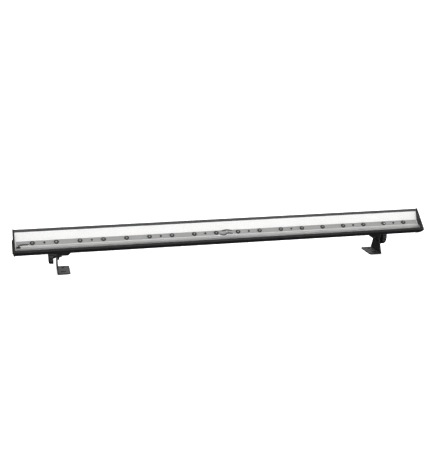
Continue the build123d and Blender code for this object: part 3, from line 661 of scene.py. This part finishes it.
BOARD_SCREW_PITCHES = (-8, -6, -3, -1, 1, 3, 6, 8)
screw_set(
    "board_screw_heads",
    "board_screws",
    [bar_matrix(pitches * LED_PITCH, 0, BOARD_TOP_DEPTH) for pitches in BOARD_SCREW_PITCHES],
    BOARD_SCREW,
)

BRACKET_SCREW_INSETS = (11.5 * MM, 25 * MM)
BRACKET_THICKNESS = 3 * MM
flipped = Matrix.Rotation(math.pi, 4, "X")
screw_set(
    "bracket_screw_heads",
    "mount_bracket_screws",
    [
        bar_matrix(side * (LEG_INNER - inset), 0, BAR_DEPTH + BRACKET_THICKNESS) @ flipped
        for side in (-1, 1)
        for inset in BRACKET_SCREW_INSETS
    ],
    BRACKET_SCREW,
)

CAP_SCREW_PLACES = (                    # up the window and in depth, mm
    (26.4, 12.0), (-26.4, 12.0), (13.6, 40.3), (-13.6, 40.3),
)
outward = {side: Matrix.Rotation(side * math.pi / 2, 4, "Y") for side in (-1, 1)}
screw_set(
    "cap_screw_heads",
    "end_cap_screws",
    [
        bar_matrix(side * (CAP_FACE - CAP_SCREW_HEAD_HEIGHT), up * MM, depth * MM) @ outward[side]
        for side in (-1, 1)
        for up, depth in CAP_SCREW_PLACES
    ],
    CAP_SCREW,
)

# ---- tilt clamps -----------------------------------------------------------------------------
STUD_RADIUS = 4 * MM
THREAD_PITCH = 1.25 * MM
THREAD_DEPTH = 0.68 * MM
NUT_HALF_WIDTH = 7 * MM
NUT_HEIGHT = 6.5 * MM
STUD_PAST_NUT = 5.5 * MM
WASHER_THICKNESS = 1.6 * MM
FACE_PLAY = 0.05 * MM
KNOB_RADIUS = 22.5 * MM
KNOB_THICKNESS = 12 * MM
KNOB_STANDOFF = 7 * MM
KNOB_HUB_RADIUS = 9.5 * MM
KNOB_LOBES = 10
SCALLOP_RADIUS = 6 * MM
SCALLOP_BITE = 1.6 * MM
KNOB_RIM_RADIUS = 5 * MM
KNOB_BACK_RADIUS = 1 * MM
KNOB_LINE_DEPTH = 0.12 * MM
KNOB_LINE = (0.42, 0.44, 0.47, 0.49)    # where the moulding line round the rim starts, is deep, ends
DISH_RADIUS = 12 * MM
DISH_DEPTH = 1.2 * MM
RIDGE_OUTER = 8.6 * MM                  # a low ring on the dish's floor
RIDGE_INNER = 7.2 * MM
RIDGE_HEIGHT = 0.35 * MM
RIDGE_SLANT = 0.2 * MM
GATE_RADIUS = 1.4 * MM                  # the moulding mark in the middle
GATE_HEIGHT = 0.3 * MM
STUD_IN_KNOB = 8 * MM
FRICTION_WASHER_RADIUS = 11 * MM
FRICTION_WASHER_THICKNESS = 0.9 * MM
KNOB_WASHER_RADIUS = 8 * MM


def even_angles(steps):
    return [TURN * step / steps for step in range(steps)]


def soft_min(first, second, blend):
    """The smaller of two lengths, with the corner between them rounded."""
    near = max(0.0, 1 - abs(first - second) / blend)
    return min(first, second) - blend * near * near / 4


def lobe_radius(angle):
    """Outline of the knob: a circle with round scallops, a lobe at the bottom."""
    spacing = TURN / KNOB_LOBES
    off = (angle + spacing / 2 - math.pi / 2) % spacing - spacing / 2
    reach = KNOB_RADIUS + SCALLOP_RADIUS - SCALLOP_BITE
    inside = SCALLOP_RADIUS ** 2 - (reach * math.sin(off)) ** 2
    if inside <= 0:
        return KNOB_RADIUS
    return soft_min(KNOB_RADIUS, reach * math.cos(off) - math.sqrt(inside), 0.8 * MM)


def knob_piece(side, name):
    """Local z is 0 at the leg's outer face and points away from it."""
    bm = bmesh.new()
    matrix = pivot_matrix(side, LEG_OUTER)
    angles = even_angles(240)
    hub = WASHER_THICKNESS + 2 * FACE_PLAY
    back = KNOB_STANDOFF
    front = back + KNOB_THICKNESS
    round_rings = [
        (STUD_RADIUS, hub + 6 * MM),
        (STUD_RADIUS, hub + 0.4 * MM),
        (STUD_RADIUS + 0.4 * MM, hub),
        (KNOB_HUB_RADIUS - 0.6 * MM, hub),
        (KNOB_HUB_RADIUS, hub + 0.6 * MM),
    ]
    round_rings += arc((KNOB_HUB_RADIUS + 1 * MM, back - 1 * MM), 1 * MM, 180, 90, 4)
    rim = arc((KNOB_RADIUS - KNOB_BACK_RADIUS, back + KNOB_BACK_RADIUS), KNOB_BACK_RADIUS, -90, 0, 4)
    line = KNOB_RADIUS - KNOB_LINE_DEPTH
    for share, radius in zip(KNOB_LINE, (KNOB_RADIUS, line, line, KNOB_RADIUS)):
        rim.append((radius, back + share * KNOB_THICKNESS))
    rim += arc((KNOB_RADIUS - KNOB_RIM_RADIUS, front - KNOB_RIM_RADIUS), KNOB_RIM_RADIUS, 0, 90, 12)
    floor = front - DISH_DEPTH
    face_rings = [
        (DISH_RADIUS + 0.5 * MM, front),
        (DISH_RADIUS + 0.15 * MM, front - 0.15 * MM),
        (DISH_RADIUS, front - 0.5 * MM),
        (DISH_RADIUS - 0.2 * MM, floor),
        (RIDGE_OUTER, floor),
        (RIDGE_OUTER - RIDGE_SLANT, floor + RIDGE_HEIGHT),
        (RIDGE_INNER + RIDGE_SLANT, floor + RIDGE_HEIGHT),
        (RIDGE_INNER, floor),
        (GATE_RADIUS, floor + GATE_HEIGHT / 3),
        (GATE_RADIUS - 0.3 * MM, floor + GATE_HEIGHT),
    ]
    rings = [ring_of(bm, matrix, angles, lambda angle: radius, height) for radius, height in round_rings]
    for radius, height in rim:
        rings.append(ring_of(
            bm, matrix, angles, lambda angle: soft_min(lobe_radius(angle), radius, 0.5 * MM), height
        ))
    rings += [ring_of(bm, matrix, angles, lambda angle: radius, height) for radius, height in face_rings]
    rings.append([bm.verts.new(matrix @ Vector((0, 0, floor + GATE_HEIGHT)))])
    skin(bm, rings)
    piece(bm, f"{name}_grip", [finishes["knob_plastic"]], f"{name}_knob",
          [f"{name}_knob"], 40)


def stud_piece(side, name):
    """A rolled thread from the tip to the leg, then a plain shank inside the knob."""
    bm = bmesh.new()
    tip = EAR_INNER - NUT_HEIGHT - STUD_PAST_NUT
    matrix = pivot_matrix(side, tip)
    angles = even_angles(32)
    threaded = LEG_OUTER + WASHER_THICKNESS - tip
    rings = [[bm.verts.new(matrix @ Vector((0, 0, 0)))]]
    step = THREAD_PITCH / 6
    for index in range(int(threaded / step)):
        height = index * step
        taper = max(0.0, 0.6 * MM - height)

        def thread_radius(angle):
            turn = (height / THREAD_PITCH - angle / TURN) % 1
            groove = THREAD_DEPTH * max(0.0, 1 - abs(2 * turn - 1) * 1.25)
            return STUD_RADIUS - max(groove, taper)

        rings.append(ring_of(bm, matrix, angles, thread_radius, height))
    end = LEG_OUTER + KNOB_STANDOFF + STUD_IN_KNOB - tip
    rings.append(ring_of(bm, matrix, angles, lambda angle: STUD_RADIUS, threaded))
    rings.append(ring_of(bm, matrix, angles, lambda angle: STUD_RADIUS, end))
    rings.append([bm.verts.new(matrix @ Vector((0, 0, end)))])
    skin(bm, rings)
    piece(bm, f"{name}_threaded_stud", [finishes["black_zinc"]], f"{name}_knob",
          [f"{name}_stud"], 25)


def nut_piece(side, name):
    """A hexagon whose free corners are turned off, on the ear's inner face."""
    bm = bmesh.new()
    matrix = pivot_matrix(side, EAR_INNER - NUT_HEIGHT)
    angles = even_angles(96)
    corner = NUT_HALF_WIDTH / math.cos(math.radians(30))

    def hexagon(angle):
        return NUT_HALF_WIDTH / math.cos((angle + TURN / 12) % (TURN / 6) - TURN / 12)

    bore = STUD_RADIUS + FACE_PLAY
    rings = [ring_of(bm, matrix, angles, lambda angle: bore, NUT_HEIGHT)]
    rings.append(ring_of(bm, matrix, angles, lambda angle: bore, 0.5 * MM))
    rings.append(ring_of(bm, matrix, angles, lambda angle: bore + 0.5 * MM, 0))
    for turned, height in ((0.93, 0), (0.955, 0.15), (0.98, 0.42), (1, 0.8)):
        limit = turned * corner
        rings.append(ring_of(bm, matrix, angles, lambda angle: min(limit, hexagon(angle)), height * MM))
    rings.append(ring_of(bm, matrix, angles, hexagon, NUT_HEIGHT))
    rings.append(rings[0])
    skin(bm, rings)
    piece(bm, f"{name}_hex_nut", [finishes["black_zinc"]], "housing",
          [f"{name}_weld_nut"], 25)


def washer_piece(side, name, kind, body, slot, low, thick, radius):
    """A pressed washer: one edge rolled over, the other sharp."""
    bm = bmesh.new()
    matrix = pivot_matrix(side, low)
    bore = STUD_RADIUS + FACE_PLAY
    roll = 0.35 * thick
    burr = 0.1 * thick
    profile = [(bore, burr), (bore + burr, 0), (radius - burr, 0), (radius, burr)]
    profile += arc((radius - roll, thick - roll), roll, 0, 90, 5)
    profile += [(bore + burr, thick), (bore, thick - burr), (bore, burr)]
    lathe(bm, profile, matrix, 64)
    bmesh.ops.remove_doubles(bm, verts=bm.verts, dist=1e-6)
    piece(bm, f"{name}_{kind}_ring", [finishes[slot]], body, [f"{name}_{kind}"])


for side, name in ((-1, "left"), (1, "right")):
    knob_piece(side, name)
    stud_piece(side, name)
    nut_piece(side, name)
    washer_piece(side, name, "friction_washer", "housing", "washer_nylon",
                 LEG_INNER - FACE_PLAY - FRICTION_WASHER_THICKNESS, FRICTION_WASHER_THICKNESS,
                 FRICTION_WASHER_RADIUS)
    washer_piece(side, name, "knob_washer", f"{name}_knob", "black_zinc",
                 LEG_OUTER + FACE_PLAY, WASHER_THICKNESS, KNOB_WASHER_RADIUS)

# ---- wires on the lit side -------------------------------------------------------------------
WIRE_RADIUS = 0.9 * MM
FEED_RADIUS = 1.0 * MM
INSULATION, METAL = range(2)            # places in a wire's list of materials
CORE_STEPS = 10
BLOB_STEPS = 24
SOLDER_PROFILE = (                      # radii and heights, mm
    (0, 0), (2.1, 0.02), (1.8, 0.25), (1.3, 0.9), (0.8, 1.7), (0.35, 2.0), (0, 2.05),
)


def smooth_path(points, rounds=3):
    """Cuts the corners of a route again and again, keeping its two ends."""
    path = [Vector(point) for point in points]
    for _ in range(rounds):
        cut = [path[0]]
        for first, second in zip(path, path[1:]):
            cut += [first.lerp(second, 0.25), first.lerp(second, 0.75)]
        path = cut + [path[-1]]
    return path


def tube(bm, points, radius, steps=16, material=INSULATION):
    """A round wire along a smoothed route, with closed ends."""
    path = smooth_path(points)
    along = (path[1] - path[0]).normalized()
    across = along.orthogonal().normalized()
    rings = [[bm.verts.new(path[0])]]
    for index, point in enumerate(path):
        before = path[max(index - 1, 0)]
        after = path[min(index + 1, len(path) - 1)]
        along = (after - before).normalized()
        across = (across - along * across.dot(along)).normalized()
        other = along.cross(across)
        rings.append([
            bm.verts.new(point + radius * (across * math.cos(angle) + other * math.sin(angle)))
            for angle in even_angles(steps)
        ])
    rings.append([bm.verts.new(path[-1])])
    skin(bm, rings, material)


def solder_blob(bm, x, up):
    """A cone of solder that flows up to a wire's end from its pad."""
    profile = [(radius * MM, height * MM) for radius, height in SOLDER_PROFILE]
    lathe(bm, profile, bar_matrix(x, up, BOARD_TOP_DEPTH), BLOB_STEPS, METAL)


def route(*places):
    """Places given as along, up and depth in millimetres."""
    return [bar_matrix(x * MM, up * MM, depth * MM).translation for x, up, depth in places]


# Routes and pads below are in millimetres along the bar, up the window and, for routes, in depth.
TAUT_JUMPER = (
    (-13, 4.2, 12.6), (-10.5, 4.2, 12.4), (-6, 4.2, 9.6), (6, 4.2, 9.6), (10.5, 4.2, 12.4), (13, 4.2, 12.6),
)
SLACK_JUMPER = (
    (-20, -4.2, 12.6), (-18, -4.8, 12.4), (-13, -9.6, 10.4), (-6, -9.2, 9.6),
    (0, -4.3, 9.6), (7.5, -4.2, 11), (11, -4.2, 12.5), (13.4, -4.2, 12.6),
)
JUMPER_PADS = ((-14, 4.2), (14, 4.2), (-21, -4), (14.4, -4.2))
JUMPER_CORE_RADIUS = 0.45 * MM
JUMPER_CORE_LENGTH = 1.2
JUMPER_DEPTH = 12.6                     # of a jumper's ends, 0.9 above the board


def jumper_wires():
    bm = bmesh.new()
    tube(bm, route(*TAUT_JUMPER), WIRE_RADIUS)
    tube(bm, route(*SLACK_JUMPER), WIRE_RADIUS)
    for x, up in JUMPER_PADS:
        inward = math.copysign(JUMPER_CORE_LENGTH, -x)
        core = route((x, up, JUMPER_DEPTH), (x + inward, up, JUMPER_DEPTH))
        tube(bm, core, JUMPER_CORE_RADIUS, CORE_STEPS, METAL)
        solder_blob(bm, x * MM, up * MM)
    piece(bm, "jumper_wires", [finishes["wire_black"], solder], "housing", ["board_jumpers"])


GROMMET_X = -508.5
GROMMET_UP = -11
GROMMET_DEPTH = 13.09
FEED_BEHIND = ((-459.5, 9.5, 26.2), (-471, 9.5, 26.2), (-487, -6, 19.5), (-499, -12.4, 16))
FEED_THROUGH = (-3.2, -2.4, 1.6, 4.4)   # out of the trough's wall, along the grommet's axis
FEED_IN_FRONT = ((-500, -4.9, 9.8), (-488, -3.9, 12.2), (-485.2, -3.8, 12.5))
FEED_CORE = ((-485.4, -3.8, 12.5), (-484.2, -3.8, 12.7))
FEED_PAD = (-484.5, -3.8)
FEED_CORE_RADIUS = 0.5 * MM


def through_grommet(distance):
    """A place on the grommet's axis, this far out of the trough's wall."""
    up = GROMMET_UP + distance * math.sin(TRAY_SLOPE)
    return (GROMMET_X, up, GROMMET_DEPTH - distance * math.cos(TRAY_SLOPE))


def feed_wire():
    bm = bmesh.new()
    passage = [through_grommet(distance) for distance in FEED_THROUGH]
    tube(bm, route(*FEED_BEHIND, *passage, *FEED_IN_FRONT), FEED_RADIUS)
    tube(bm, route(*FEED_CORE), FEED_CORE_RADIUS, CORE_STEPS, METAL)
    solder_blob(bm, FEED_PAD[0] * MM, FEED_PAD[1] * MM)
    piece(bm, "feed_wire", [finishes["wire_black"], solder], "housing", ["led_feed_cable"])


jumper_wires()
feed_wire()


# ---- floor and light -------------------------------------------------------------------------
FLOOR_RADIUS = 8
SWEEP_RADIUS = 5
WALL_TOP = 9
GLOW_NEAR = 0.84
GLOW_FAR = 0.96
GLOW_REACH = (1.5, 7)                   # distances where the glow starts and stops growing
ZENITH_SHARE = 0.13                     # of the horizon's brightness
NADIR_SHARE = 0.04
BACK_SHARE = 0.3
DOME_BANDS = (                          # axis, its two angles in degrees and the shares there
    ("Z", 6, 26, 1.0, ZENITH_SHARE),
    ("Z", -22, -4, NADIR_SHARE, 1.0),
    ("Y", -6, 24, 1.0, BACK_SHARE),
)


def make_floor():
    """A pale floor that sweeps up all round, far from the object."""
    bm = bmesh.new()
    sweep = arc((FLOOR_RADIUS, SWEEP_RADIUS), SWEEP_RADIUS, -90, 0, 14)
    wall = [(FLOOR_RADIUS + SWEEP_RADIUS, WALL_TOP)]
    lathe(bm, [(0, 0)] + sweep + wall, Matrix.Identity(4), 96)
    mesh = bpy.data.meshes.new("floor")
    bm.to_mesh(mesh)
    bm.free()
    material, shader = new_material("floor", (0.8, 0.8, 0.8), 0.7)
    shader.inputs["Emission Color"].default_value = (1, 1, 1, 1)
    distance = add_node(material, "ShaderNodeVectorMath", operation="LENGTH")
    link(material, coordinates(material), distance.inputs[0])
    glow = ramp(material, distance.outputs["Value"], GLOW_NEAR, GLOW_FAR, *GLOW_REACH)
    link(material, glow, shader.inputs["Emission Strength"])
    cloud = mix_colour(material, noise(material, 0.6, 2), (0.8, 0.8, 0.8), (0.83, 0.83, 0.83))
    link(material, cloud, shader.inputs["Base Color"])
    for polygon in mesh.polygons:
        polygon.use_smooth = True
    mesh.materials.append(material)
    floor = bpy.data.objects.new("floor", mesh)
    bpy.context.scene.collection.objects.link(floor)
    floor.visible_diffuse = False
    floor.visible_glossy = False
    floor.visible_shadow = False


def make_world():
    """A studio dome: bright round the horizon in front, dim behind, overhead and below."""
    world = bpy.data.worlds.new("studio")
    world.use_nodes = True
    tree = world.node_tree
    source = tree.nodes.new("ShaderNodeTexCoord")
    split = tree.nodes.new("ShaderNodeSeparateXYZ")
    tree.links.new(source.outputs["Generated"], split.inputs[0])
    strength = None
    for axis, start, end, low, high in DOME_BANDS:
        share = tree.nodes.new("ShaderNodeMapRange")
        share.inputs["From Min"].default_value = math.sin(math.radians(start))
        share.inputs["From Max"].default_value = math.sin(math.radians(end))
        share.inputs["To Min"].default_value = low
        share.inputs["To Max"].default_value = high
        tree.links.new(split.outputs[axis], share.inputs["Value"])
        if strength is None:
            strength = share.outputs["Result"]
            continue
        product = tree.nodes.new("ShaderNodeMath")
        product.operation = "MULTIPLY"
        tree.links.new(strength, product.inputs[0])
        tree.links.new(share.outputs["Result"], product.inputs[1])
        strength = product.outputs[0]
    tree.links.new(strength, tree.nodes["Background"].inputs["Strength"])
    tree.nodes["Background"].inputs["Color"].default_value = (1, 1, 1, 1)
    bpy.context.scene.world = world


def softbox(name, place, target, size, power):
    light = bpy.data.lights.new(name, "AREA")
    light.shape = "RECTANGLE"
    light.size, light.size_y = size
    light.energy = power
    lamp = bpy.data.objects.new(name, light)
    lamp.location = place
    lamp.rotation_mode = "QUATERNION"
    lamp.rotation_quaternion = (Vector(target) - Vector(place)).to_track_quat("-Z", "Y")
    bpy.context.scene.collection.objects.link(lamp)


make_floor()
make_world()
middle = (cad_low + cad_high) / 2
FRONT_WATTS = 135
BACK_WATTS = 125
softbox("front_softbox", (0.1, -3.4, 0.22), middle, (3.6, 0.4), FRONT_WATTS)
softbox("back_softbox", (0.6, 2.2, 2.5), middle, (3.0, 1.2), BACK_WATTS)
